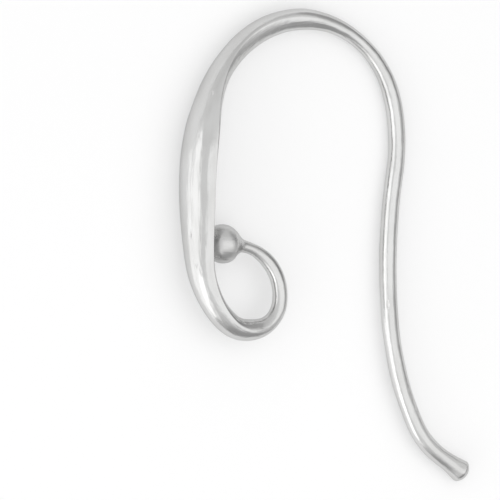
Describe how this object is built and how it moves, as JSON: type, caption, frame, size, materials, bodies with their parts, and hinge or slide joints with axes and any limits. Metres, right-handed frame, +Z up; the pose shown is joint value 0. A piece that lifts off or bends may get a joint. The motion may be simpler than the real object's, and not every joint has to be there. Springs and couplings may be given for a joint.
{
  "type": "ear wire",
  "caption": "Cast silver ear wire with a leaf-shaped front drop, an open loop closed by a ball, and a round hook wire with a flared domed tip.",
  "frame": {"origin": "on the floor, below the middle of the wire's box as it lies on its side", "axes": "+Z up from the floor, +Y along the drop towards the arch, +X from the front drop to the back of the hook wire"},
  "size_m": [0.0164, 0.0244, 0.003],
  "materials": {
    "silver": "polished sterling silver with fine polishing marks and a few small casting dimples"
  },
  "bodies": {
    "root": {"ear_wire": "silver"}
  },
  "joints": []
}
